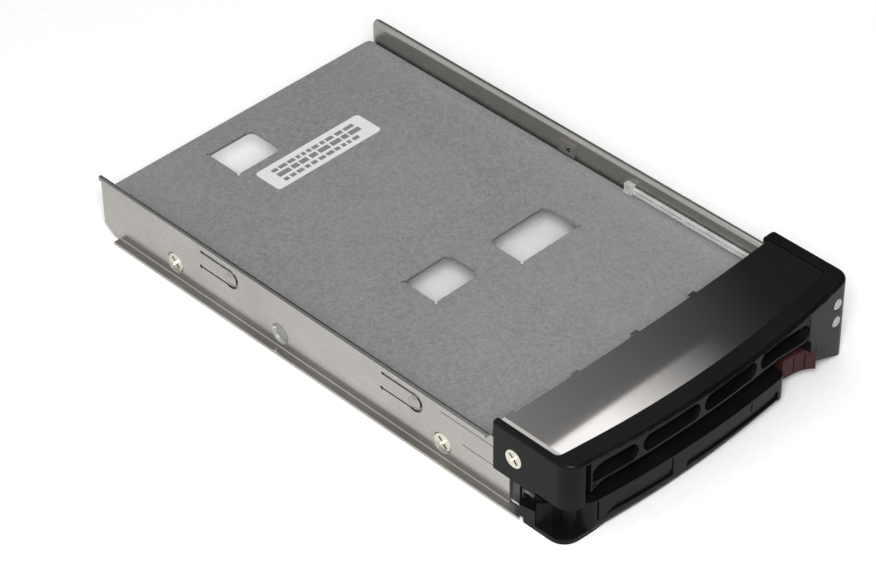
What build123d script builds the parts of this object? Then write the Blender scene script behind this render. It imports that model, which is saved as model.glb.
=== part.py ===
"""Hot-swap drive tray: a 3.5-inch carrier whose floor is a converter plate for one 2.5-inch drive.

Frame, in millimetres: the origin is at the bottom centre of the whole tray, +Z is up, the bezel
faces -Y and the open connector end faces +Y.
"""
from math import cos, radians, sin

from build123d import *
import os

os.makedirs("parts", exist_ok=True)

# ---------------------------------------------------------------- tray frame
half_wall = 51.3  # outer face of each rail wall, from the centre plane
sheet = 0.8  # thickness of every folded sheet
inner_wall = half_wall - sheet
wall_top = 19.1
lip_reach = 1.2  # how far the top lip turns outwards
flange_reach = 2.3  # how far the bottom flange turns outwards
bend_outer = 1.2
bend_inner = 0.4
rail_rear = 89.5
wall_front = -65.2
lip_front = -58.0
flange_rear = 83.2
flange_front = -71.3
rear_cut_height = 2.9  # the lower rear corner of each wall is cut off
rear_cut_length = 3.9

# side holes of a 3.5-inch drive: 101.6 mm between the end ones, 41.6 mm to the middle one
side_hole_z = 5.4
rear_hole_y = 60.0
middle_hole_y = rear_hole_y - 41.6
front_hole_y = rear_hole_y - 101.6
screw_head_r = 2.8
screw_shank_r = 1.7
head_depth = 0.22  # how far the screw heads lie below the wall
csk_mouth_r = 3.2
csk_angle = 82

# spring fingers lanced in the left wall
finger_tops = (49.0, -20.0)  # Y of each finger's root
finger_length = 13.9
finger_z = 12.95
finger_half = 2.2
lower_slit = 0.5
upper_slit = 0.8
tip_slit = 0.9
dome_r = 3.06
dome_height = 0.7
grooves = ((15.7, -41.0), (9.5, -48.6))  # Z and rear end of each pressed line

# ---------------------------------------------------------------- converter plate
floor_top = 12.54
floor_under = floor_top - sheet
plate_rear = 90.5
plate_front = -62.0
skirt_outer = inner_wall - 0.05
skirt_inner = skirt_outer - sheet
skirt_low = 1.5
skirt_rear = 86.0
skirt_front = -57.0
plate_corner = 3.0

# 2.5-inch drive bay under the floor
drive_width = 69.85
drive_length = 100.2
drive_height = 9.5
drive_slack = 0.1
bay_left = skirt_inner - drive_width - drive_slack
bay_front = -12.0
drive_hole_z = floor_under - drive_height + 3.0
drive_hole_rear_y = bay_front + drive_length - 14.0
drive_hole_front_y = drive_hole_rear_y - 76.6
drive_hole_r = 1.7
tab_low = 2.0

# ---------------------------------------------------------------- front bracket
ear_outer = inner_wall - 0.1
ear_inner = ear_outer - sheet
ear_top = 20.5
ear_rear = -58.5
ear_front = -75.0
lower_ear_front = -67.9
bracket_top = 10.7
web_left = -34.0

# ---------------------------------------------------------------- bezel
bezel_half = 52.2
bezel_rear = -59.7
bezel_front = -90.5
front_radius = 311.0
bezel_top = 25.4
bezel_low = 10.9
wall_low = 9.9
bezel_corners = (5.0, 4.6)
roof_under = 23.2
roof_top = 24.4
roof_rear = -62.2
shelf_top = 16.55
shelf_under = 15.95
back_wall_rear = -75.8
back_wall_front = -77.0
opening_left = -47.3
opening_right = 33.6
recess_right = 34.7
opening_top = 24.3
slot_low = 16.6
first_slot_low = 16.35
slot_high = 21.9
slot_spans = ((-28.0, -8.2), (-6.6, 13.3), (14.9, 33.5))
first_slot_right = -29.6
grille_left = -44.9
# how far the grille lies behind the bezel's front: at its left end, its middle and its right end
grille_front = (0.85, 1.6, 1.8)
grille_back = (2.25, 3.0, 3.2)
slot_depth = (2.9, 3.6, 3.8)
ramp_left = 22.0  # from here the grille comes forward, to meet the bezel's face

cover_left = -50.3
cover_right = 48.4
cover_top = 25.0
cover_gap = 0.15
cover_inset = 6.1  # how far the cover's front edge lies behind the bezel's front

bezel_screw_y = -67.2
bezel_screw_z = 17.0

led_x = 46.3
led_heights = (13.4, 19.2)
lens_r = 1.75

# ---------------------------------------------------------------- lever
pivot_x = -45.8
pivot_y = -80.7
pin_r = 1.25
running = 0.05
barrel_r = 2.75
barrel_top = 7.5
sweep_r = 12.6
lip_thickness = 1.4
lever_top = 10.5
lever_end = 24.6
lever_inset = 0.4
lever_depth = 7.6
lever_left = -46.4
hook_left = -53.4
hook_rear = -70.8
hook_reach = -69.4  # the hook reaches further back above the flange
hook_front = -76.0
hook_top = 6.2
groove_low = 3.4  # the long groove under the recesses

# ---------------------------------------------------------------- release button
pad_left = 27.9
pad_right = 37.2
pad_low = 4.0
pad_high = 10.4
stem_left = 30.5
stem_right = 35.5
stem_low = 5.0
stem_high = 9.5
guide_gap = 0.15
head_rear = -74.0
head_front = -75.0
web_front = -68.8


def front_y(x, inset=0.0):
    """Y of the bezel's bowed front face at a given X, moved back by inset."""
    return bezel_front + inset + front_radius - (front_radius**2 - x**2) ** 0.5


def box_between(low, high, mode=Mode.ADD):
    """A box given by its two extreme corners."""
    size = [b - a for a, b in zip(low, high)]
    with Locations(Vector(*[(a + b) / 2 for a, b in zip(low, high)])):
        Box(*size, mode=mode)


def bowed_region(left, right, rear, insets, corners=(0, 0)):
    """A flat region between two X values, from a rear line to the bowed front.

    The insets are those of the left end, the middle and the right end.
    """
    middle = (left + right) / 2
    arc = [(x, front_y(x, inset)) for x, inset in zip((left, middle, right), insets)]
    with BuildSketch(Plane.XY) as region:
        with BuildLine():
            Polyline(arc[0], (left, rear), (right, rear), arc[2])
            ThreePointArc(*arc)
        make_face()
        for x, radius in zip((left, right), corners):
            if radius:
                fillet(region.vertices().sort_by_distance((x, bezel_front))[0], radius)
    return region.sketch


# ---------------------------------------------------------------- side rails
def rail_body(side):
    """One rail with its ends trimmed, before its own holes and fingers."""
    with BuildPart() as rail:
        with BuildSketch(Plane.XZ.offset(-rail_rear)) as profile:
            for reach, centre_z, height in (
                (0, wall_top / 2, wall_top),
                (lip_reach, wall_top - sheet / 2, sheet),
                (flange_reach, sheet / 2, sheet),
            ):
                with Locations((side * (half_wall + reach / 2 - sheet / 2), centre_z)):
                    Rectangle(sheet + reach, height)
            for x, z, radius in (
                (inner_wall, 0, bend_outer),
                (inner_wall, wall_top, bend_outer),
                (half_wall, sheet, bend_inner),
                (half_wall, wall_top - sheet, bend_inner),
            ):
                fillet(profile.vertices().sort_by_distance((side * x, z))[0], radius)
        extrude(amount=rail_rear - flange_front)
        outer = half_wall + flange_reach + 1
        walls = sorted((side * (inner_wall - 1), side * outer))
        outside = sorted((side * half_wall, side * outer))
        box_between(
            (walls[0], flange_front - 1, sheet), (walls[1], wall_front, wall_top + 1), Mode.SUBTRACT
        )
        box_between(
            (outside[0], flange_front - 1, wall_top - 2),
            (outside[1], lip_front, wall_top + 1),
            Mode.SUBTRACT,
        )
        box_between(
            (outside[0], flange_rear, -1), (outside[1], rail_rear + 1, sheet + bend_inner), Mode.SUBTRACT
        )
        with BuildSketch(Plane.YZ.offset(-outer)):
            with BuildLine():
                Polyline(
                    (rail_rear + 1, rear_cut_height),
                    (rail_rear, rear_cut_height),
                    (rail_rear - rear_cut_length, 0),
                    (rail_rear - rear_cut_length, -1),
                    (rail_rear + 1, -1),
                    close=True,
                )
            make_face()
        extrude(amount=2 * outer, mode=Mode.SUBTRACT)
        for y in (rear_hole_y, middle_hole_y, front_hole_y):
            if side > 0 and y != front_hole_y:
                continue
            with Locations(Location((side * half_wall, y, side_hole_z), (0, side * 90, 0))):
                CounterSinkHole(
                    screw_shank_r + 0.15, csk_mouth_r, depth=4, counter_sink_angle=csk_angle
                )
        lip_corner = rail.edges().filter_by(Axis.Z).group_by(Axis.Y)[-1].sort_by(Axis.X)
        fillet(lip_corner[-1 if side > 0 else 0], 1.0)
    return rail


with BuildPart() as left_rail:
    add(rail_body(-1).part)
    for root_y in finger_tops:
        tip_y = root_y - finger_length + finger_half
        middle_y = (root_y + tip_y) / 2
        with BuildSketch(Plane.YZ.offset(-half_wall - 1)):
            with Locations((tip_y, finger_z)):
                Circle(finger_half + tip_slit)
            with Locations((middle_y, finger_z + (upper_slit - lower_slit) / 2)):
                Rectangle(root_y - tip_y, 2 * finger_half + upper_slit + lower_slit)
            with Locations((tip_y, finger_z)):
                Circle(finger_half, mode=Mode.SUBTRACT)
            with Locations((middle_y, finger_z)):
                Rectangle(root_y - tip_y + 1, 2 * finger_half, mode=Mode.SUBTRACT)
            with Locations((root_y, finger_z - finger_half - lower_slit / 2)):
                Circle(0.55)
        extrude(amount=3, mode=Mode.SUBTRACT)
        # the finger's tip bulges outwards in a shallow dome
        centre = (-half_wall - dome_height + dome_r, tip_y, finger_z)
        ball = Pos(*centre) * Sphere(dome_r, mode=Mode.PRIVATE)
        shell = Pos(-half_wall - 0.45, tip_y, finger_z) * Box(1.0, 5, 5, mode=Mode.PRIVATE)
        add(ball & shell)
    # two shallow lines pressed into the wall near the bezel
    for line_z, line_rear in grooves:
        box_between(
            (-half_wall - 1, wall_front - 1, line_z - 0.15),
            (-half_wall + 0.15, line_rear, line_z + 0.15),
            Mode.SUBTRACT,
        )
    with Locations((pivot_x, pivot_y, 0)):
        Cylinder(sweep_r, 4, mode=Mode.SUBTRACT)
left_rail.part.label = "left_rail"
export_step(left_rail.part, "parts/left_rail.step")

with BuildPart() as right_rail:
    add(rail_body(1).part)
    for y in (drive_hole_rear_y, drive_hole_front_y):
        with Locations(Location((inner_wall, y, drive_hole_z), (0, 90, 0))):
            Cylinder(3.2, 4, mode=Mode.SUBTRACT)
    box_between((inner_wall - 0.7, 9.0, floor_top + 0.3), (inner_wall, 15.0, floor_top + 4.0))
    with Locations(Location((inner_wall, 11.4, floor_top + 2.3), (0, 90, 0))):
        Cylinder(0.9, 4, mode=Mode.SUBTRACT)
right_rail.part.label = "right_rail"
export_step(right_rail.part, "parts/right_rail.step")

# ---------------------------------------------------------------- converter plate
# each window: X and Y spans, and the side on which its tab was folded down
window_rear = ((-19.3, -3.3), (69.8, 82.3))
window_front = ((-19.8, -3.5), (-7.5, 4.5))
window_stop = ((7.7, 29.5), (-12.0, 0.5))


def window(spans, round_side):
    """A punched window, rounded on the side away from its fold and relieved at the fold."""
    (x0, x1), (y0, y1) = spans
    with BuildSketch(Plane.XY.offset(floor_under - 1)) as opening:
        with Locations(((x0 + x1) / 2, (y0 + y1) / 2)):
            Rectangle(x1 - x0, y1 - y0)
        far = opening.vertices().group_by(Axis.X if round_side == "x" else Axis.Y)[-1]
        fillet(far, 2.0)
        corners = ((x0, y0), (x0, y1)) if round_side == "x" else ((x0, y0), (x1, y0))
        with Locations(*corners):
            Circle(0.6)
    extrude(opening.sketch, amount=sheet + 2, mode=Mode.SUBTRACT)


with BuildPart() as converter_plate:
    with BuildSketch(Plane.XZ.offset(-plate_rear)) as section:
        with Locations((0, (floor_top + skirt_low) / 2)):
            Rectangle(2 * skirt_outer, floor_top - skirt_low)
        fillet(section.vertices().group_by(Axis.Y)[-1], bend_outer)
        with Locations((0, (floor_under + skirt_low - 1) / 2)):
            Rectangle(2 * skirt_inner, floor_under - skirt_low + 1, mode=Mode.SUBTRACT)
    extrude(amount=plate_rear - plate_front)
    for side in (-1, 1):
        ends = sorted((side * (ear_inner - 0.3), side * half_wall))
        box_between((ends[0], plate_front - 1, 0), (ends[1], skirt_front, floor_top + 1), Mode.SUBTRACT)
    for low_y, high_y in ((plate_front - 1, skirt_front), (skirt_rear, plate_rear + 1)):
        box_between(
            (-half_wall, low_y, 0), (half_wall, high_y, floor_under - 0.4), Mode.SUBTRACT
        )
    for side in (-1, 1):
        centre = (side * (skirt_outer - plate_corner + 0.1), plate_rear - plate_corner + 0.1)
        with BuildSketch(Plane.XY.offset(floor_under - 1)):
            with Locations((centre[0] + side * plate_corner, centre[1] + plate_corner)):
                Rectangle(2 * plate_corner, 2 * plate_corner)
            with Locations(centre):
                Circle(plate_corner, mode=Mode.SUBTRACT)
        extrude(amount=sheet + 2, mode=Mode.SUBTRACT)
    window(window_rear, "x")
    window(window_front, "x")
    window(window_stop, "y")
    for hole_y in (drive_hole_rear_y, drive_hole_front_y):
        box_between(
            (bay_left - sheet, hole_y - 5.4, tab_low), (bay_left, hole_y + 5.4, floor_under + 0.2)
        )
        for x in (bay_left - sheet / 2, (skirt_inner + skirt_outer) / 2):
            with Locations(Location((x, hole_y, drive_hole_z), (0, 90, 0))):
                Cylinder(drive_hole_r, 2 * sheet, mode=Mode.SUBTRACT)
    box_between((9.7, bay_front - sheet, tab_low), (27.5, bay_front, floor_under + 0.2))
    for side, y in ((-1, rear_hole_y), (-1, front_hole_y), (1, front_hole_y)):
        with Locations(Location((side * half_wall, y, side_hole_z), (0, side * 90, 0))):
            CounterSinkHole(
                screw_shank_r + 0.1, csk_mouth_r, depth=4, counter_sink_angle=csk_angle
            )
converter_plate.part.label = "converter_plate"
export_step(converter_plate.part, "parts/converter_plate.step")

# ---------------------------------------------------------------- front bracket

with BuildPart() as front_bracket:
    for side in (-1, 1):
        ear = sorted((side * ear_inner, side * ear_outer))
        box_between((ear[0], ear_front, bracket_top - sheet), (ear[1], ear_rear, ear_top))
        box_between((ear[0], lower_ear_front, skirt_low), (ear[1], ear_rear, bracket_top))
        with Locations(Location((side * ear_outer, bezel_screw_y, bezel_screw_z), (0, 90, 0))):
            Cylinder(1.35, 4, mode=Mode.SUBTRACT)
    box_between(
        (-ear_outer, web_front, bracket_top - sheet), (ear_outer, ear_rear, bracket_top)
    )
    box_between((web_left, web_front, 2.0), (ear_inner, web_front + sheet, bracket_top))
    box_between(
        (ear_inner - 1, -65.5, floor_top - 0.3), (ear_outer + 1, ear_rear + 1, floor_top + 3.6), Mode.SUBTRACT
    )
front_bracket.part.label = "front_bracket"
export_step(front_bracket.part, "parts/front_bracket.step")


# ---------------------------------------------------------------- fasteners
def flat_screw(head_x, side, y, z, head_r, shank_r, length):
    """A countersunk cross-recess screw driven inwards along X from the given head face."""
    cone = (head_r - shank_r) / sin(radians(csk_angle / 2)) * cos(radians(csk_angle / 2))
    with BuildSketch(Plane.XY) as half:
        with BuildLine():
            Polyline(
                (0, 0),
                (head_r, 0),
                (head_r, -0.15),
                (shank_r, -0.15 - cone),
                (shank_r, -length + 0.5),
                (shank_r - 0.5, -length),
                (0, -length),
                close=True,
            )
        make_face()
    solid = revolve(half.sketch, axis=Axis.Y, mode=Mode.PRIVATE)
    arm = head_r * 0.68
    for turn in (0, 90):
        blade = Rot(0, turn, 0) * Box(2 * arm, 2.4, 0.7, mode=Mode.PRIVATE)
        solid = solid - blade
    place = Location((side * head_x, y, z)) * Rot(0, 0, -side * 90) * Rot(0, 45, 0)
    return place * solid


with BuildPart() as rail_screws:
    for side, y in ((-1, rear_hole_y), (-1, front_hole_y), (1, front_hole_y)):
        add(flat_screw(half_wall - head_depth, side, y, side_hole_z, screw_head_r, screw_shank_r, 5.6))
rail_screws.part.label = "rail_screws"
export_step(rail_screws.part, "parts/rail_screws.step")

with BuildPart() as bezel_screws:
    for side in (-1, 1):
        add(flat_screw(bezel_half - 0.1, side, bezel_screw_y, bezel_screw_z, 2.65, 1.3, 3.1))
bezel_screws.part.label = "bezel_screws"
export_step(bezel_screws.part, "parts/bezel_screws.step")

nut_depth = 2.4
with BuildPart() as clinch_nuts:
    for side, y in ((-1, rear_hole_y), (-1, front_hole_y), (1, front_hole_y)):
        place = Location((side * (skirt_inner - nut_depth / 2), y, side_hole_z), (0, 90, 0))
        with Locations(place):
            Cylinder(3.2, nut_depth)
        with Locations(place):
            Cylinder(screw_shank_r + 0.02, nut_depth + 1, mode=Mode.SUBTRACT)
clinch_nuts.part.label = "clinch_nuts"
export_step(clinch_nuts.part, "parts/clinch_nuts.step")

# ---------------------------------------------------------------- bezel
with BuildPart() as bezel:
    with BuildSketch(Plane.XY.offset(bezel_low)):
        add(bowed_region(-bezel_half, bezel_half, bezel_rear, (0, 0, 0), bezel_corners))
    extrude(amount=bezel_top - bezel_low)
    fillet(bezel.faces().sort_by(Axis.Z)[-1].edges().filter_by(GeomType.CIRCLE), 1.0)
    # the side walls reach lower than the front columns
    for side in (-1, 1):
        wall = sorted((side * inner_wall, side * bezel_half))
        box_between((wall[0], -74.8, wall_low), (wall[1], bezel_rear, bezel_low))
    # thin flaps beside the rails, thicker walls in front of them
    box_between(
        (-half_wall - 0.1, wall_front - 0.6, 0), (half_wall + 0.1, bezel_rear + 1, roof_under), Mode.SUBTRACT
    )
    box_between(
        (-inner_wall, back_wall_rear, 0), (inner_wall, bezel_rear + 1, roof_under), Mode.SUBTRACT
    )
    # upper air chamber behind the grille
    with BuildSketch(Plane.XY.offset(shelf_top)):
        add(bowed_region(-inner_wall + 0.6, inner_wall - 0.6, back_wall_rear + 1, grille_back))
    extrude(amount=roof_under - shelf_top, mode=Mode.SUBTRACT)
    # opening that holds the grille, then the finger recess under the shelf
    with BuildSketch(Plane.XY.offset(shelf_under)):
        add(bowed_region(opening_left, opening_right, back_wall_rear, (-2, -2, -2)))
        add(bowed_region(opening_left, opening_right, back_wall_rear, grille_front), mode=Mode.SUBTRACT)
    extrude(amount=opening_top - shelf_under, mode=Mode.SUBTRACT)
    with BuildSketch(Plane.XY.offset(shelf_top)):
        add(bowed_region(opening_left, opening_right - 0.1, back_wall_rear, (0, 0, 0)))
        add(bowed_region(opening_left, opening_right - 0.1, back_wall_rear, slot_depth), mode=Mode.SUBTRACT)
    extrude(amount=roof_under - shelf_top, mode=Mode.SUBTRACT)
    with BuildSketch(Plane.XZ.offset(-back_wall_front)) as recess:
        with BuildLine():
            Polyline(
                (opening_left, bezel_low - 1),
                (opening_left, shelf_under),
                (recess_right, shelf_under),
                (recess_right, bezel_low - 1),
                close=True,
            )
        make_face()
        fillet(recess.vertices().sort_by_distance((recess_right, shelf_under))[0], 2.2)
    extrude(amount=16, mode=Mode.SUBTRACT)
    with BuildSketch(Plane.XY.offset(bezel_low)):
        add(bowed_region(opening_left, grille_left + 0.4, back_wall_rear, (0, 0, 0)))
        add(
            bowed_region(opening_left, grille_left + 0.4, back_wall_rear, (2.4, 2.4, 2.4)),
            mode=Mode.SUBTRACT,
        )
    extrude(amount=roof_under - bezel_low, mode=Mode.SUBTRACT)
    # grille: one bowed wall with four long holes and a lip that bends down at its left end
    with BuildPart(mode=Mode.PRIVATE) as grille:
        with BuildSketch(Plane.XZ.offset(-back_wall_rear)):
            with BuildLine():
                Polyline(
                    (opening_right + 0.4, shelf_under),
                    (opening_right + 0.4, opening_top + 0.4),
                    (grille_left, opening_top + 0.4),
                    (grille_left, 13.9),
                )
                Spline((grille_left, 13.9), (-42.6, 15.3), (-40.2, shelf_under), (-37.5, shelf_under))
                Line((-37.5, shelf_under), (opening_right + 0.4, shelf_under))
            make_face()
            with BuildLine():
                Line((grille_left + 0.5, 19.9), (grille_left + 0.5, 14.9))
                Spline(
                    (grille_left + 0.5, 14.9),
                    (-42.2, 16.0),
                    (-39.9, first_slot_low),
                    (-37.3, first_slot_low),
                )
                Line((-37.3, first_slot_low), (first_slot_right - 2.6, first_slot_low))
                ThreePointArc(
                    (first_slot_right - 2.6, first_slot_low),
                    (first_slot_right, (first_slot_low + slot_high) / 2),
                    (first_slot_right - 2.6, slot_high),
                )
                Line((first_slot_right - 2.6, slot_high), (-40.0, slot_high))
                Spline((-40.0, slot_high), (-42.9, 21.3), (grille_left + 0.5, 19.9))
            make_face(mode=Mode.SUBTRACT)
            for left, right in slot_spans:
                with Locations(((left + right) / 2, (slot_low + slot_high) / 2)):
                    RectangleRounded(right - left, slot_high - slot_low, 2.4, mode=Mode.SUBTRACT)
        extrude(amount=20)
        with BuildSketch(Plane.XY.offset(10)):
            add(bowed_region(grille_left, opening_right + 0.4, back_wall_rear, grille_front))
            with BuildLine():
                Polyline(
                    (ramp_left, front_y(ramp_left, 1.8)),
                    (opening_right + 0.4, front_y(opening_right + 0.4)),
                    (opening_right + 0.4, front_y(opening_right, 3)),
                    (ramp_left, front_y(ramp_left, 3)),
                    close=True,
                )
            make_face()
            add(
                bowed_region(grille_left - 1, opening_right + 1, back_wall_rear + 1, grille_back),
                mode=Mode.SUBTRACT,
            )
        extrude(amount=16, mode=Mode.INTERSECT)
    add(grille.part)
    # back wall behind the lever
    box_between((web_left, back_wall_front, 1.5), (pad_left - 0.6, back_wall_rear, shelf_under))
    # lever pin boss
    with Locations((pivot_x, pivot_y, (bezel_low + shelf_top) / 2)):
        Cylinder(3.2, shelf_top - bezel_low)
    # lower part of the block that carries the indicators
    with BuildSketch(Plane.XZ.offset(-back_wall_rear - 2.8)) as lower:
        with BuildLine():
            Polyline(
                (pad_right + 0.3, bezel_low + 0.1),
                (pad_right + 0.3, 6.4),
                (49.8, 0),
                (bezel_half, 0),
                (bezel_half, bezel_low + 0.1),
                close=True,
            )
        make_face()
        fillet(lower.vertices().sort_by_distance((bezel_half, 0))[0], 2.0)
    extrude(amount=20)
    with BuildSketch(Plane.XY.offset(-1)):
        with Locations((45, -92)):
            Rectangle(40, 24)
        add(bowed_region(-bezel_half, bezel_half, bezel_rear, (0, 0, 0), bezel_corners), mode=Mode.SUBTRACT)
    extrude(amount=bezel_low + 2, mode=Mode.SUBTRACT)
    # pocket for the light pipes
    with BuildSketch(Plane.XY.offset(7.6)):
        add(bowed_region(41.5, 50.4, back_wall_rear + 3, (2.4, 2.4, 3.0)))
    extrude(amount=roof_under - 7.6, mode=Mode.SUBTRACT)
    with Locations(*[Location((led_x, bezel_front + 3, z), (90, 0, 0)) for z in led_heights]):
        Cylinder(lens_r + 0.05, 8, mode=Mode.SUBTRACT)
    # way in for the button's pad
    box_between(
        (pad_left - 0.5, bezel_front - 1, pad_low - 0.3), (pad_right + 0.3, -76.5, bezel_low), Mode.SUBTRACT
    )
    # seat for the cover plate, open at the rear, where its hooks reach over the roof's edge
    with BuildSketch(Plane.XY.offset(roof_top)):
        seat = cover_inset - cover_gap
        add(
            bowed_region(
                cover_left - cover_gap,
                cover_right + cover_gap,
                bezel_rear + 1,
                (seat, seat, seat),
                (1.6, 1.6),
            )
        )
    extrude(amount=2, mode=Mode.SUBTRACT)
    box_between(
        (cover_left, roof_rear, roof_under - 1), (cover_right, bezel_rear + 1, bezel_top + 1), Mode.SUBTRACT
    )
    # pin and screw holes
    with Locations((pivot_x, pivot_y, 14)):
        Cylinder(pin_r + 0.02, 12, mode=Mode.SUBTRACT)
    for side in (-1, 1):
        place = Location((side * (bezel_half - 0.1), bezel_screw_y, bezel_screw_z), (0, side * 90, 0))
        with Locations(place):
            CounterSinkHole(1.45, 2.85, depth=4, counter_sink_angle=csk_angle)
        with Locations(Location((side * bezel_half, bezel_screw_y, bezel_screw_z), (0, 90, 0))):
            Cylinder(2.85, 0.2, mode=Mode.SUBTRACT)
    rear_corners = bezel.edges().filter_by(Axis.X).group_by(Axis.Z)[-1].group_by(Axis.Y)[-1]
    fillet(rear_corners, 1.2)
bezel.part.label = "bezel"
export_step(bezel.part, "parts/bezel.step")

# ---------------------------------------------------------------- polished cover plate
hook_places = (-24.9, -3.3, 18.1)
with BuildPart() as bezel_cover:
    with BuildSketch(Plane.XY.offset(roof_top)) as face:
        with BuildLine():
            Polyline(
                (cover_left, front_y(cover_left, cover_inset)),
                (cover_left, -60.8),
                (cover_left + 4.5, -60.8),
                (cover_left + 4.5, -61.7),
            )
            ThreePointArc((cover_left + 4.5, -61.7), (0, -62.7), (cover_right, -61.6))
            Line((cover_right, -61.6), (cover_right, front_y(cover_right, cover_inset)))
            ThreePointArc(
                (cover_right, front_y(cover_right, cover_inset)),
                (0, front_y(0, cover_inset)),
                (cover_left, front_y(cover_left, cover_inset)),
            )
        make_face()
        for x in (cover_left, cover_right):
            fillet(face.vertices().sort_by_distance((x, bezel_front))[0], 1.4)
    extrude(amount=cover_top - roof_top)
    fillet(bezel_cover.faces().sort_by(Axis.Z)[-1].outer_wire().edges().group_by(Axis.Y)[0], 0.3)
    # the left edge is folded down a little
    with BuildSketch(Plane.XZ.offset(61)):
        with BuildLine():
            Polyline(
                (cover_left - 1, cover_top - 0.45),
                (cover_left, cover_top - 0.45),
                (cover_left + 1.3, cover_top),
                (cover_left + 1.3, cover_top + 1),
                (cover_left - 1, cover_top + 1),
                close=True,
            )
        make_face()
    extrude(amount=30, mode=Mode.SUBTRACT)
    for x in hook_places:
        box_between((x - 1.2, -63.0, roof_top), (x + 1.2, -61.5, cover_top - 0.1))
        box_between((x - 1.2, roof_rear + 0.1, 22.4), (x + 1.2, -61.5, roof_top + 0.1))
bezel_cover.part.label = "bezel_cover"
export_step(bezel_cover.part, "parts/bezel_cover.step")

# ---------------------------------------------------------------- lever
def bar_plan(insets):
    """The lever's bar in plan; the insets set its front back at the left end, middle and right end."""
    rear = lever_inset + lever_depth
    front = [
        (x, front_y(x, inset))
        for x, inset in zip((lever_left, (lever_left + lever_end) / 2, lever_end), insets)
    ]
    with BuildSketch(Plane.XY) as bar:
        with BuildLine():
            Polyline(
                front[0],
                (lever_left, pivot_y + 1.5),
                (lever_left + 3, front_y(lever_left, rear)),
            )
            ThreePointArc(
                (lever_left + 3, front_y(lever_left, rear)),
                (-12, front_y(-12, rear)),
                (lever_end, front_y(lever_end, rear)),
            )
            Line((lever_end, front_y(lever_end, rear)), front[2])
            ThreePointArc(*front)
        make_face()
        fillet(bar.vertices().group_by(Axis.X)[-1], 2.6)
    return bar.sketch


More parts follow.
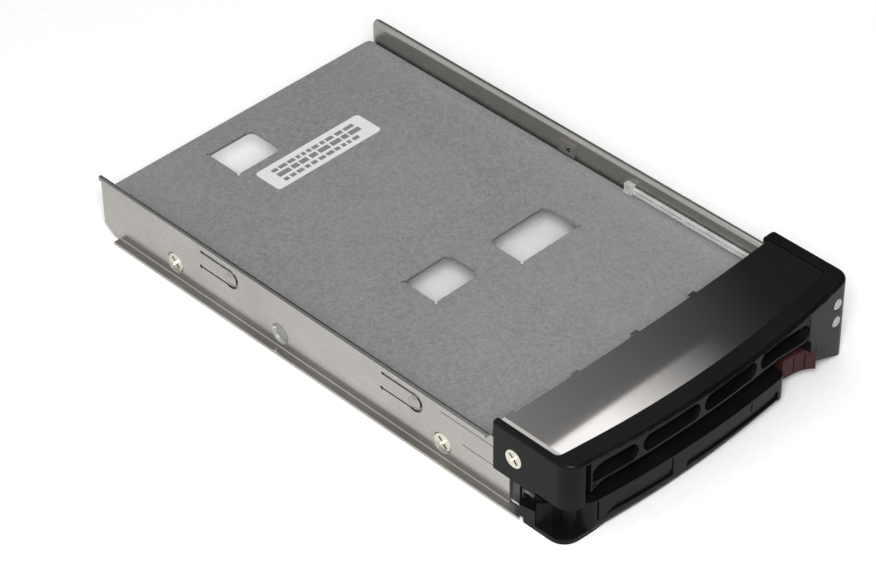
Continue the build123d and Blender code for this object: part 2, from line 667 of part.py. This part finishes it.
with BuildPart() as lever:
    # the part below the groove is set back more and more towards its right end
    with BuildSketch(Plane.XY):
        add(bar_plan((lever_inset, 1.15, 1.9)))
    extrude(amount=groove_low)
    fillet(
        lever.faces().sort_by(Axis.Z)[0].outer_wire().edges().filter_by(GeomType.CIRCLE), 2.2
    )
    with BuildSketch(Plane.XY.offset(groove_low)):
        add(bar_plan((lever_inset, lever_inset, lever_inset)))
    extrude(amount=lever_top - groove_low)
    # the bar's left end is rounded in plan
    with BuildSketch(Plane.XY.offset(-1)):
        centre = (lever_left + 3.3, front_y(lever_left + 3.3, lever_inset) + 3.3)
        with Locations((centre[0] - 3, centre[1] - 3)):
            Rectangle(6, 6)
        with Locations(centre):
            Circle(3.2, mode=Mode.SUBTRACT)
    extrude(amount=lever_top + 2, mode=Mode.SUBTRACT)
    # bottom plate around the corner, to the hook
    with BuildSketch(Plane.XY):
        add(bowed_region(hook_left, -38, pivot_y + 2, (lever_inset, 0.8, 1.9), (5.0, 0)))
        with BuildLine():
            Polyline(
                (hook_left, pivot_y),
                (hook_left, hook_rear - 1.2),
                (hook_left + 1.2, hook_rear),
                (-49.6, hook_rear),
                (-43.2, pivot_y),
                close=True,
            )
        make_face()
    extrude(amount=lip_thickness)
    # hook block, pivot barrel and the web between them
    for low, high, rear in ((0, 1.6, hook_rear), (1.6, hook_top, hook_reach)):
        with BuildSketch(Plane.XY.offset(low)):
            with BuildLine():
                Polyline(
                    (hook_left, hook_front),
                    (hook_left, rear - 1.2),
                    (hook_left + 1.2, rear),
                    (-50.2, rear),
                    (-50.2, hook_front),
                    close=True,
                )
            make_face()
        extrude(amount=high - low)
    with BuildSketch(Plane.XY):
        with BuildLine():
            Polyline(
                (-53.0, hook_front),
                (-50.1, -78.6),
                (-47.5, -80.2),
                (pivot_x, -78.4),
                (-48.6, -74.5),
                (-50.3, -72.5),
                close=True,
            )
        make_face()
    extrude(amount=8.6)
    with Locations((-50.2, -74.4, 3.6)):
        Cylinder(0.9, 7.2)
    with Locations((pivot_x, pivot_y, barrel_top / 2)):
        Cylinder(barrel_r, barrel_top)
    # hollow back of the bar
    with BuildSketch(Plane.XY.offset(2.0)):
        with BuildLine():
            Polyline((20, -80), (20, front_y(20, 3.6)))
            ThreePointArc((20, front_y(20, 3.6)), (-8, front_y(-8, 3.6)), (-36, front_y(-36, 3.6)))
            Polyline((-36, front_y(-36, 3.6)), (-36, -77), (20, -77), (20, -80))
        make_face()
    extrude(amount=lever_top - 4.0, mode=Mode.SUBTRACT)
    with Locations((-22, -84.2, lever_top / 2), (-8, -84.6, lever_top / 2), (6, -84.4, lever_top / 2)):
        Box(1.2, 5.2, lever_top - 1.0)
    # room for the spring above the barrel, and the pin's bore and head seat
    with Locations((pivot_x, pivot_y, barrel_top + 5)):
        Cylinder(3.5, 10, mode=Mode.SUBTRACT)
    box_between((pivot_x, pivot_y, barrel_top), (-37.0, pivot_y + 4, lever_top + 1), Mode.SUBTRACT)
    with Locations((pivot_x, pivot_y, 5)):
        Cylinder(pin_r + running, 14, mode=Mode.SUBTRACT)
    with Locations((pivot_x, pivot_y, 0)):
        Cylinder(2.1, 1.8, mode=Mode.SUBTRACT)
    # the hook's top slopes down to the rear
    with BuildSketch(Plane.YZ.offset(hook_left - 1)):
        with BuildLine():
            Polyline(
                (hook_front, hook_top),
                (hook_reach - 0.5, 4.9),
                (hook_reach + 1, 4.9),
                (hook_reach + 1, 10),
                (hook_front, 10),
                close=True,
            )
        make_face()
    extrude(amount=3.4, mode=Mode.SUBTRACT)
    # two long recesses in the front face, a slit at the end of each and a groove under both
    for outline in (
        ((-40.4, 4.2), (-18.6, 4.2), (-18.6, 6.9), (-36.5, 6.9)),
        ((-13.8, 4.2), (21.5, 4.2), (21.5, 6.9), (-12.8, 6.9)),
    ):
        with BuildSketch(Plane.XZ.offset(-pivot_y)):
            with BuildLine():
                Polyline(*outline, close=True)
            make_face()
        cut = extrude(amount=12, mode=Mode.PRIVATE)
        with BuildSketch(Plane.XY.offset(1)):
            add(bowed_region(lever_left, lever_end + 1, pivot_y, (-1, -1, -1)))
            depth = lever_inset + 0.6
            add(bowed_region(lever_left, lever_end + 1, pivot_y, (depth, depth, depth)), mode=Mode.SUBTRACT)
        strip = extrude(amount=9, mode=Mode.PRIVATE)
        add(cut & strip, mode=Mode.SUBTRACT)
    for x, low, high in ((-42.8, groove_low, 10.0), (-18.5, 4.3, 9.9), (10.5, 6.8, 9.9)):
        box_between(
            (x - 0.25, front_y(x) - 1, low), (x + 0.25, front_y(x, lever_inset + 0.7), high), Mode.SUBTRACT
        )
    with BuildSketch(Plane.XY.offset(groove_low)):
        add(bowed_region(-42.8, 21.5, pivot_y, (-1, -1, -1)))
        depth = lever_inset + 0.6
        add(bowed_region(-42.8, 21.5, pivot_y, (depth, depth, depth)), mode=Mode.SUBTRACT)
    extrude(amount=0.35, mode=Mode.SUBTRACT)
    # catch beside the button
    box_between((lever_end - 2.7, -84.0, 3.6), (27.1, -81.6, 7.4))
lever.part.label = "lever"
export_step(lever.part, "parts/lever.step")

pin_top = 18.3
groove_z = shelf_top + 0.05
with BuildPart() as lever_pin:
    with Locations((pivot_x, pivot_y, (0.7 + pin_top) / 2)):
        Cylinder(pin_r, pin_top - 0.7)
    with Locations((pivot_x, pivot_y, 0.5)):
        Cylinder(1.9, 0.6)
    with BuildSketch(Plane.XY.offset(groove_z)):
        with Locations((pivot_x, pivot_y)):
            Circle(pin_r + 1)
            Circle(pin_r - 0.3, mode=Mode.SUBTRACT)
    extrude(amount=0.5, mode=Mode.SUBTRACT)
    chamfer(lever_pin.faces().sort_by(Axis.Z)[-1].edges(), 0.3)
lever_pin.part.label = "lever_pin"
export_step(lever_pin.part, "parts/lever_pin.step")

with BuildPart() as pin_clip:
    with BuildSketch(Plane.XY.offset(groove_z + 0.05)):
        with Locations((pivot_x, pivot_y)):
            Circle(2.6)
            Circle(pin_r - 0.28, mode=Mode.SUBTRACT)
        with Locations((pivot_x + 2, pivot_y)):
            Rectangle(4, 1.6, mode=Mode.SUBTRACT)
    extrude(amount=0.4)
pin_clip.part.label = "pin_clip"
export_step(pin_clip.part, "parts/pin_clip.step")

wire_r = 0.28
coil_r = 2.1
coil_low = barrel_top + 0.45
coil_pitch = 0.66
coil_turns = 4
with BuildPart() as lever_spring:
    with BuildLine(Plane.XY.offset(coil_low)) as coil:
        Helix(coil_pitch, coil_pitch * coil_turns, coil_r, center=(pivot_x, pivot_y, 0))
    start = coil.line @ 0
    with BuildSketch(Plane(origin=start, z_dir=coil.line % 0)):
        Circle(wire_r)
    sweep(path=coil.line, is_frenet=True)
    legs = (
        ((pivot_x + coil_r, pivot_y - 0.3, coil_low), (pivot_x + coil_r, pivot_y + 2.4, coil_low)),
        (
            (pivot_x + coil_r, pivot_y, coil_low + coil_pitch * coil_turns),
            (pivot_x + coil_r, pivot_y + 6.0, coil_low + coil_pitch * coil_turns),
        ),
    )
    for leg_start, leg_end in legs:
        with BuildSketch(Plane(origin=leg_start, z_dir=Vector(*leg_end) - Vector(*leg_start))):
            Circle(wire_r)
        extrude(amount=(Vector(*leg_end) - Vector(*leg_start)).length)
lever_spring.part.label = "lever_spring"
export_step(lever_spring.part, "parts/lever_spring.step")

# ---------------------------------------------------------------- release button
with BuildPart() as release_button:
    with BuildSketch(Plane.XY.offset(pad_low)):
        with BuildLine():
            Polyline((pad_left, -85.2), (pad_left, -80.0), (pad_right, -80.0), (pad_right, -88.5))
            Spline((pad_right, -88.5), (36.0, -87.3), (32.6, -85.9), (pad_left, -85.2))
        make_face()
    extrude(amount=pad_high - pad_low)
    box_between((stem_left, -80.5, stem_low), (stem_right, head_front, stem_high))
    box_between((stem_left - 0.8, head_front, stem_low - 0.8), (stem_right + 0.8, head_rear, stem_high + 0.8))
    with Locations(Location((33.0, head_rear, 7.25), (90, 0, 0))):
        Cylinder(1.1, 4.0)
    for x, groove_y in ((31.7, -85.2), (34.9, -86.2)):
        box_between((x - 0.25, -91, pad_low + 0.8), (x + 0.25, groove_y, pad_high - 0.9), Mode.SUBTRACT)
    fillet(release_button.faces().sort_by(Axis.Z)[-1].edges().group_by(Axis.Y)[0], 0.5)
release_button.part.label = "release_button"
export_step(release_button.part, "parts/release_button.step")

with BuildPart() as button_carrier:
    box_between((28.2, -77.2, 3.4), (pad_right + 0.2, web_front - 0.1, 10.65))
    box_between(
        (stem_left - guide_gap, -79, stem_low - guide_gap),
        (stem_right + guide_gap, -75, stem_high + guide_gap),
        Mode.SUBTRACT,
    )
    box_between(
        (stem_left - 0.8 - guide_gap, head_front - guide_gap, stem_low - 0.8 - guide_gap),
        (stem_right + 0.8 + guide_gap, web_front + 1, stem_high + 0.8 + guide_gap),
        Mode.SUBTRACT,
    )
button_carrier.part.label = "button_carrier"
export_step(button_carrier.part, "parts/button_carrier.step")

spring_r = 1.7
spring_wire = 0.22
spring_front = head_rear + spring_wire + 0.02
spring_rear = web_front - spring_wire - 0.02
with BuildPart() as button_spring:
    with BuildLine() as turns:
        length = spring_rear - spring_front
        Helix(length / 5, length, spring_r, center=(33.0, spring_rear, 7.25), direction=(0, -1, 0))
    with BuildSketch(Plane(origin=turns.line @ 0, z_dir=turns.line % 0)):
        Circle(spring_wire)
    sweep(path=turns.line, is_frenet=True)
button_spring.part.label = "button_spring"
export_step(button_spring.part, "parts/button_spring.step")

# ---------------------------------------------------------------- light pipes
pipe_r = 0.6
pipe_x = 49.75
pipe_rear = -13.0
bend_start = -58.5
bend_end = -66.5


def light_pipe(run_z, lens_z):
    """A clear rod along the right wall that ends in a round lens in the bezel."""
    with BuildPart() as pipe:
        with BuildLine() as route:
            FilletPolyline(
                (pipe_x, pipe_rear, run_z),
                (pipe_x, bend_start, run_z),
                (led_x, bend_end, lens_z),
                (led_x, bezel_front + 6, lens_z),
                radius=3.0,
            )
        with BuildSketch(Plane(origin=route.line @ 0, z_dir=route.line % 0)):
            Circle(pipe_r)
        sweep(path=route.line)
        lens_face = front_y(led_x) - 0.15
        with BuildSketch(Plane.XZ.offset(-lens_face - 3.4)):
            with Locations((led_x, lens_z)):
                Circle(lens_r)
        extrude(amount=3.4)
        fillet(pipe.faces().sort_by(Axis.Y)[0].edges(), 0.6)
    return pipe


light_pipe_lower = light_pipe(floor_top + 0.05 + pipe_r, led_heights[0])
light_pipe_lower.part.label = "light_pipe_lower"
export_step(light_pipe_lower.part, "parts/light_pipe_lower.step")

light_pipe_upper = light_pipe(floor_top + 0.15 + 3 * pipe_r, led_heights[1])
light_pipe_upper.part.label = "light_pipe_upper"
export_step(light_pipe_upper.part, "parts/light_pipe_upper.step")

with BuildPart() as light_pipe_clip:
    box_between(
        (48.8, pipe_rear - 0.2, floor_top + 0.02), (inner_wall - 0.02, pipe_rear + 2.6, floor_top + 3.1)
    )
    for z in (floor_top + 0.05 + pipe_r, floor_top + 0.15 + 3 * pipe_r):
        with Locations(Location((pipe_x, pipe_rear, z), (90, 0, 0))):
            Cylinder(pipe_r + 0.02, 1.0, mode=Mode.SUBTRACT)
light_pipe_clip.part.label = "light_pipe_clip"
export_step(light_pipe_clip.part, "parts/light_pipe_clip.step")

# ---------------------------------------------------------------- label
with BuildPart() as label:
    with BuildSketch(Plane.XY.offset(floor_top)):
        with Locations((3.0, 61.6)):
            RectangleRounded(38.6, 10.0, 1.2)
    extrude(amount=0.12)
label.part.label = "label"
export_step(label.part, "parts/label.step")
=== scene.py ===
import math
import random

import bmesh
import bpy
from mathutils import Matrix, Vector


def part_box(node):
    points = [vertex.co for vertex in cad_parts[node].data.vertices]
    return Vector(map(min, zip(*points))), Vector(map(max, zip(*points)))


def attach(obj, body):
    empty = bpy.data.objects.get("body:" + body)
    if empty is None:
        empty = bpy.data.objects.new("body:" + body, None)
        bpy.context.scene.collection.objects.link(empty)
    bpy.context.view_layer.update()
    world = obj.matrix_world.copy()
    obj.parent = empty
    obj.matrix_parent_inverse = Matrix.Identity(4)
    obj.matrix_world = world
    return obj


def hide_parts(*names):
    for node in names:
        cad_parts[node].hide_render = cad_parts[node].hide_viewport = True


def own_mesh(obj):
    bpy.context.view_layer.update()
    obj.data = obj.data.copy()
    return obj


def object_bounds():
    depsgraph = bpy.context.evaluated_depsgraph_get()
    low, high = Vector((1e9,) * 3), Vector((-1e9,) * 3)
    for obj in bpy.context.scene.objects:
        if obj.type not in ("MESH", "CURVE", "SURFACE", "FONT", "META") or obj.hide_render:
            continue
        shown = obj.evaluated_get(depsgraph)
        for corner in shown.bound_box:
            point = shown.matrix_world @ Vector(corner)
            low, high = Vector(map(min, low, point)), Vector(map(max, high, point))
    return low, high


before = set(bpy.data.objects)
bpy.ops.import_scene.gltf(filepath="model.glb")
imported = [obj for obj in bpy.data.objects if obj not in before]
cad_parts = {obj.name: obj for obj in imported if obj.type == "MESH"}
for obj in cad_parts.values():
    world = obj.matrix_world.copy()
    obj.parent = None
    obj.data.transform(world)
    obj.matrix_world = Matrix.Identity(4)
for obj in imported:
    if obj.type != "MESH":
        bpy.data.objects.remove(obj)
cad_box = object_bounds()
MM = 0.001


# ---------------------------------------------------------------- scene helpers
def show(name, data):
    """Put a mesh, camera or light into the scene as an object."""
    obj = bpy.data.objects.new(name, data)
    bpy.context.scene.collection.objects.link(obj)
    return obj


def show_mesh(name, shape, material):
    """Turn a finished bmesh into an object of one material."""
    mesh = bpy.data.meshes.new(name)
    shape.to_mesh(mesh)
    shape.free()
    mesh.materials.append(material)
    return show(name, mesh)


def fill_ramp(color_ramp, stops):
    """Set a new colour ramp to these (position, grey level) stops."""
    while len(color_ramp.elements) < len(stops):
        color_ramp.elements.new(0.5)
    for element, (position, level) in zip(color_ramp.elements, stops):
        element.position = position
        element.color = (level, level, level, 1)


# ---------------------------------------------------------------- material helpers
class Mat:
    """A procedural material: short helpers around one node tree."""

    def __init__(self, name):
        self.mat = bpy.data.materials.new(name)
        self.mat.use_nodes = True
        self.tree = self.mat.node_tree
        self.bsdf = self.tree.nodes["Principled BSDF"]
        self.coord = self.node("ShaderNodeTexCoord").outputs["Object"]

    def node(self, kind, **values):
        n = self.tree.nodes.new(kind)
        for key, value in values.items():
            setattr(n, key, value)
        return n

    def link(self, a, b):
        self.tree.links.new(a, b)

    def set(self, **values):
        """Set the shader's own sockets; an underscore stands for a space in a socket's name."""
        for key, value in values.items():
            self.bsdf.inputs[key.replace("_", " ")].default_value = value

    def noise(self, scale, detail, stretch=(1, 1, 1)):
        """Noise with this many cells per metre, squeezed or drawn out along each axis by stretch."""
        mapping = self.node("ShaderNodeMapping")
        mapping.inputs["Scale"].default_value = stretch
        self.link(self.coord, mapping.inputs["Vector"])
        n = self.node("ShaderNodeTexNoise")
        n.inputs["Scale"].default_value = scale
        n.inputs["Detail"].default_value = detail
        n.inputs["Roughness"].default_value = 0.55
        self.link(mapping.outputs["Vector"], n.inputs["Vector"])
        return n.outputs["Fac"]

    def crystals(self, scale):
        """Two independent random values for each cell, as (first, second)."""
        cells = self.node("ShaderNodeTexVoronoi")
        cells.inputs["Scale"].default_value = scale
        self.link(self.coord, cells.inputs["Vector"])
        parts = self.node("ShaderNodeSeparateColor")
        self.link(cells.outputs["Color"], parts.inputs["Color"])
        return parts.outputs["Red"], parts.outputs["Green"]

    def span(self, source, low, high, low_in=0.3, high_in=0.7):
        """Source between low_in and high_in becomes low to high."""
        m = self.node("ShaderNodeMapRange")
        m.inputs["From Min"].default_value = low_in
        m.inputs["From Max"].default_value = high_in
        m.inputs["To Min"].default_value = low
        m.inputs["To Max"].default_value = high
        self.link(source, m.inputs["Value"])
        return m.outputs["Result"]

    def mix(self, factor, a, b):
        """The colour between a and b, each a colour tuple or another node's output."""
        m = self.node("ShaderNodeMix", data_type="RGBA")
        for source, target in ((factor, m.inputs["Factor"]), (a, m.inputs["A"]), (b, m.inputs["B"])):
            if isinstance(source, tuple):
                target.default_value = (*source, 1)
            else:
                self.link(source, target)
        return m.outputs["Result"]

    def colour(self, source):
        self.link(source, self.bsdf.inputs["Base Color"])

    def tones(self, source, first, second):
        """Base colour that wanders between two tones."""
        self.colour(self.mix(self.span(source, 0, 1), first, second))

    def gloss(self, source, smooth, dull, **reach):
        """Roughness that wanders from smooth to dull."""
        self.link(self.span(source, smooth, dull, **reach), self.bsdf.inputs["Roughness"])

    def bump(self, height, strength, distance):
        b = self.node("ShaderNodeBump")
        b.inputs["Strength"].default_value = strength
        b.inputs["Distance"].default_value = distance
        self.link(height, b.inputs["Height"])
        self.link(b.outputs["Normal"], self.bsdf.inputs["Normal"])


# ---------------------------------------------------------------- materials
def stainless():
    """Satin cold-rolled stainless: fine lengthwise grain, a warm tint, light handling marks."""
    m = Mat("satin_stainless")
    grain = m.noise(scale=900, detail=3, stretch=(1, 0.02, 1))
    cloud = m.noise(scale=45, detail=4)
    m.tones(cloud, (0.335, 0.324, 0.303), (0.40, 0.389, 0.366))
    m.gloss(grain, smooth=0.22, dull=0.34)
    m.set(Metallic=1.0, Anisotropic=0.4)
    m.bump(grain, strength=0.10, distance=0.1 * MM)
    return m.mat


def zinc():
    """Zinc-plated steel: cool grey with a fine crystalline speckle."""
    m = Mat("zinc_plate")
    crystal_tone, crystal_gloss = m.crystals(scale=1500)
    fine = m.noise(scale=2600, detail=3)
    cloud = m.noise(scale=28, detail=5)
    whole = {"low_in": 0.0, "high_in": 1.0}
    tone = m.mix(m.span(crystal_tone, 0, 1, **whole), (0.17, 0.173, 0.176), (0.27, 0.273, 0.276))
    tone = m.mix(m.span(fine, 0, 0.55), tone, (0.215, 0.218, 0.22))
    tone = m.mix(m.span(cloud, 0, 0.35), tone, (0.28, 0.28, 0.28))
    m.colour(tone)
    m.gloss(crystal_gloss, smooth=0.38, dull=0.62, **whole)
    m.set(Metallic=0.35)
    m.bump(fine, strength=0.12, distance=0.08 * MM)
    return m.mat


def polished():
    """Polished stainless trim: a soft mirror, faintly brushed along its length."""
    m = Mat("polished_cover")
    grain = m.noise(scale=1600, detail=2, stretch=(0.03, 1, 1))
    cloud = m.noise(scale=30, detail=3)
    m.tones(cloud, (0.53, 0.51, 0.495), (0.58, 0.56, 0.545))
    m.gloss(grain, smooth=0.028, dull=0.042)
    m.set(Metallic=1.0)
    m.bump(grain, strength=0.01, distance=0.01 * MM)
    return m.mat


def plated(name, first, second, smooth, dull):
    """Small plated parts: tumbled, slightly uneven."""
    m = Mat(name)
    cloud = m.noise(scale=700, detail=4)
    fine = m.noise(scale=4000, detail=2)
    m.tones(cloud, first, second)
    m.gloss(cloud, smooth, dull)
    m.set(Metallic=1.0)
    m.bump(fine, strength=0.12, distance=0.04 * MM)
    return m.mat


def moulded(name, first, second, smooth, dull, specular):
    """Injection-moulded plastic: fine spark-eroded grain with slightly uneven gloss."""
    m = Mat(name)
    fine = m.noise(scale=5200, detail=3)
    cloud = m.noise(scale=60, detail=4)
    m.tones(cloud, first, second)
    m.gloss(cloud, smooth, dull)
    m.set(Specular_IOR_Level=specular)
    m.bump(fine, strength=0.25, distance=0.06 * MM)
    return m.mat


def clear():
    """Clear moulded plastic with a faint milky cast."""
    m = Mat("clear_plastic")
    cloud = m.noise(scale=300, detail=3)
    m.tones(cloud, (0.60, 0.60, 0.59), (0.78, 0.78, 0.77))
    m.gloss(cloud, smooth=0.08, dull=0.22)
    m.set(Transmission_Weight=0.6, IOR=1.49)
    return m.mat


def film():
    """Label film with a faint tooth."""
    m = Mat("label_film")
    fine = m.noise(scale=2500, detail=4)
    m.tones(fine, (0.56, 0.56, 0.555), (0.62, 0.62, 0.61))
    m.gloss(fine, smooth=0.42, dull=0.55)
    m.bump(fine, strength=0.05, distance=0.03 * MM)
    return m.mat


def ink():
    """Dark grey print, a little uneven."""
    m = Mat("label_ink")
    cloud = m.noise(scale=1800, detail=3)
    m.tones(cloud, (0.13, 0.13, 0.132), (0.21, 0.21, 0.212))
    m.gloss(cloud, smooth=0.5, dull=0.65)
    return m.mat


def floor_paper():
    """Pale matt paper."""
    m = Mat("floor_paper")
    tooth = m.noise(scale=500, detail=3)
    m.tones(tooth, (0.86, 0.86, 0.86), (0.89, 0.89, 0.89))
    m.gloss(tooth, smooth=0.75, dull=0.85)
    return m.mat


BLACK_TONES = (0.0035, 0.0035, 0.0038), (0.006, 0.006, 0.0063)
MAROON_TONES = (0.026, 0.010, 0.0095), (0.038, 0.0155, 0.0145)
steel = stainless()
zinc_plate = zinc()
# the front bracket is zinc-plated, but its colour here is far darker than zinc: painted shade for the
# shadow under the bezel, where its only visible part sits
bracket_painted_shade = plated("bracket_zinc_painted_shade", (0.07, 0.07, 0.072), (0.11, 0.11, 0.112), 0.42, 0.55)
cover_metal = polished()
screw_metal = plated("nickel_plate", (0.52, 0.50, 0.43), (0.68, 0.66, 0.58), 0.22, 0.38)
pin_metal = plated("ground_steel", (0.38, 0.38, 0.38), (0.50, 0.50, 0.50), 0.28, 0.42)
black = moulded("black_plastic", *BLACK_TONES, smooth=0.26, dull=0.38, specular=0.08)
lever_black = moulded("lever_plastic", *BLACK_TONES, smooth=0.24, dull=0.36, specular=0.09)
maroon = moulded("maroon_plastic", *MAROON_TONES, smooth=0.34, dull=0.46, specular=0.10)
clear_plastic = clear()
label_film = film()

LOOKS = {
    "left_rail": steel,
    "right_rail": steel,
    "converter_plate": zinc_plate,
    "front_bracket": bracket_painted_shade,
    "rail_screws": screw_metal,
    "bezel_screws": screw_metal,
    "clinch_nuts": screw_metal,
    "bezel": black,
    "bezel_cover": cover_metal,
    "lever": lever_black,
    "lever_pin": pin_metal,
    "pin_clip": pin_metal,
    "lever_spring": pin_metal,
    "release_button": maroon,
    "button_spring": pin_metal,
    "button_carrier": black,
    "light_pipe_lower": clear_plastic,
    "light_pipe_upper": clear_plastic,
    "light_pipe_clip": clear_plastic,
    "label": label_film,
}
for name, material in LOOKS.items():
    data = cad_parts[name].data
    data.materials.clear()
    data.materials.append(material)

# ---------------------------------------------------------------- button spring
# the coil behind the button, as a mesh
coil_low, coil_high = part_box("button_spring")
wire_r = 0.22 * MM
coil_turns = 5
steps_per_turn, wire_sides = 28, 10
coil_r = (coil_high[0] - coil_low[0]) / 2 - wire_r
coil_run = coil_high[1] - coil_low[1] - 2 * wire_r
middle_x, middle_z = ((coil_low[i] + coil_high[i]) / 2 for i in (0, 2))


def wire_ring(coil, turned):
    """One ring of points around the wire, this many turns from the coil's rear end."""
    points = []
    for side in range(wire_sides):
        roll = 2 * math.pi * side / wire_sides
        out = coil_r + wire_r * math.cos(roll)
        x = middle_x + out * math.cos(2 * math.pi * turned)
        y = coil_high[1] - wire_r - coil_run * turned / coil_turns + wire_r * math.sin(roll)
        z = middle_z + out * math.sin(2 * math.pi * turned)
        points.append(coil.verts.new((x, y, z)))
    return points


coil = bmesh.new()
rings = [wire_ring(coil, step / steps_per_turn) for step in range(coil_turns * steps_per_turn + 1)]
for first, second in zip(rings, rings[1:]):
    for side in range(wire_sides):
        coil.faces.new((first[side], second[side], second[side - 1], first[side - 1]))
coil.faces.new(rings[0][::-1])
coil.faces.new(rings[-1])
bmesh.ops.recalc_face_normals(coil, faces=coil.faces)
button_coil = show_mesh("button_coil", coil, pin_metal)
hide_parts("button_spring")
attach(button_coil, "tray")
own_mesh(button_coil)

# ---------------------------------------------------------------- label printing
# the label's print is generic: three rows of plain dashes of random length
label_low, label_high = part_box("label")
left_margin, right_margin = 4.0 * MM, 6.0 * MM
print_base = label_high[2] - 0.02 * MM
print_top = label_high[2] + 0.01 * MM
# each row: its lower and upper edge as shares of the label, then its shortest and longest dash in mm
rows = ((0.66, 0.80, 1.2, 3.6), (0.40, 0.58, 2.0, 5.0), (0.16, 0.30, 1.2, 2.6))
# the shortest and longest gap between two dashes, in mm
gap = (0.5, 0.9)


def dash(dashes, x0, x1, y0, y1):
    """One flat block of print."""
    corners = ((x0, y0), (x1, y0), (x1, y1), (x0, y1))
    base = [dashes.verts.new((*corner, print_base)) for corner in corners]
    top = [dashes.verts.new((*corner, print_top)) for corner in corners]
    dashes.faces.new(base[::-1])
    dashes.faces.new(top)
    for i in range(4):
        dashes.faces.new((base[i], base[i - 3], top[i - 3], top[i]))


rng = random.Random(7)
dashes = bmesh.new()
for row_low, row_high, shortest, longest in rows:
    y0, y1 = (label_low[1] + part * (label_high[1] - label_low[1]) for part in (row_low, row_high))
    x = label_low[0] + left_margin
    while x < label_high[0] - right_margin:
        x1 = x + rng.uniform(shortest, longest) * MM
        dash(dashes, x, x1, y0, y1)
        x = x1 + rng.uniform(*gap) * MM
label_print = show_mesh("label_print", dashes, ink())
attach(label_print, "tray")


# ---------------------------------------------------------------- camera
def aim(obj, place, azimuth, elevation, roll):
    """Stand obj at place and look along azimuth (from +Y towards +X) and down by elevation."""
    az, el, ro = (math.radians(a) for a in (azimuth, elevation, roll))
    ahead = Vector((math.sin(az) * math.cos(el), math.cos(az) * math.cos(el), -math.sin(el)))
    right = ahead.cross(Vector((0, 0, 1))).normalized()
    down = ahead.cross(right)
    x = math.cos(ro) * right - math.sin(ro) * down
    y = -(math.sin(ro) * right + math.cos(ro) * down)
    obj.matrix_world = Matrix.Translation(place) @ Matrix((x, y, -ahead)).transposed().to_4x4()


camera_data = bpy.data.cameras.new("camera")
camera_data.sensor_fit = "HORIZONTAL"
camera_data.sensor_width = 36
camera_data.lens = 131.52
camera_data.clip_start = 0.01
camera_data.clip_end = 20
camera = show("camera", camera_data)
aim(camera, Vector((-0.4639, -0.4667, 0.5450)), azimuth=44.1, elevation=39.43, roll=-0.762)
bpy.context.scene.camera = camera

# ---------------------------------------------------------------- floor
floor_half = 6.0
floor_z = cad_box[0][2] - 0.2 * MM
corners = ((-1, -1), (1, -1), (1, 1), (-1, 1))
sheet = bmesh.new()
sheet.faces.new([sheet.verts.new((floor_half * x, floor_half * y, floor_z)) for x, y in corners])
floor = show_mesh("floor", sheet, floor_paper())

# ---------------------------------------------------------------- studio dome
# bright overhead and to the left, falling off softly towards the right
bright_side = (-0.83, 0.35, 0.44)
dome_levels = ((0.42, 0.020), (0.474, 0.026), (0.519, 0.32), (0.62, 0.80), (0.80, 0.94))
world = bpy.data.worlds.new("studio")
bpy.context.scene.world = world
world.use_nodes = True
tree = world.node_tree
direction = tree.nodes.new("ShaderNodeTexCoord")
towards = tree.nodes.new("ShaderNodeVectorMath")
towards.operation = "DOT_PRODUCT"
towards.inputs[1].default_value = bright_side
share = tree.nodes.new("ShaderNodeMath")
share.operation = "MULTIPLY_ADD"
share.inputs[1].default_value = 0.5
share.inputs[2].default_value = 0.5
dome = tree.nodes.new("ShaderNodeValToRGB")
fill_ramp(dome.color_ramp, dome_levels)
background = tree.nodes["Background"]
tree.links.new(direction.outputs["Generated"], towards.inputs[0])
tree.links.new(towards.outputs["Value"], share.inputs[0])
tree.links.new(share.outputs["Value"], dome.inputs["Fac"])
tree.links.new(dome.outputs["Color"], background.inputs["Color"])
background.inputs["Strength"].default_value = 1.0
bpy.context.scene.view_settings.view_transform = "Standard"


# ---------------------------------------------------------------- lights
def area_light(name, place, size_x, size_y, watts):
    """Hang a rectangular light at place, facing straight down."""
    data = bpy.data.lights.new(name, "AREA")
    data.shape = "RECTANGLE"
    data.size, data.size_y = size_x, size_y
    data.energy = watts
    light = show(name, data)
    light.location = place
    return light


key_place = Vector((-0.50, -0.50, 0.66))
key_light = area_light("key_light", key_place, size_x=0.32, size_y=0.32, watts=9.2)
key_light.rotation_euler = (-key_place).to_track_quat("-Z", "Y").to_euler()

# a row of strips that the polished cover mirrors: one wide and bright at the left, then fading to the right
card_left, fade_left, fade_width = 0.118, 0.216, 0.068
card_y, card_z, card_depth = 0.0483, 0.325, 0.20
strips = 16
edges = [card_left] + [fade_left + fade_width * i / strips for i in range(strips + 1)]
levels = [1.45] + [1.42 * (1 - i / strips) ** 1.7 for i in range(strips)]
for left, right, level in zip(edges, edges[1:], levels):
    width = right - left
    watts = math.pi * width * card_depth * level
    strip = area_light(f"card_{left:.3f}", ((left + right) / 2, card_y, card_z), width, card_depth, watts)
    strip.visible_camera = False
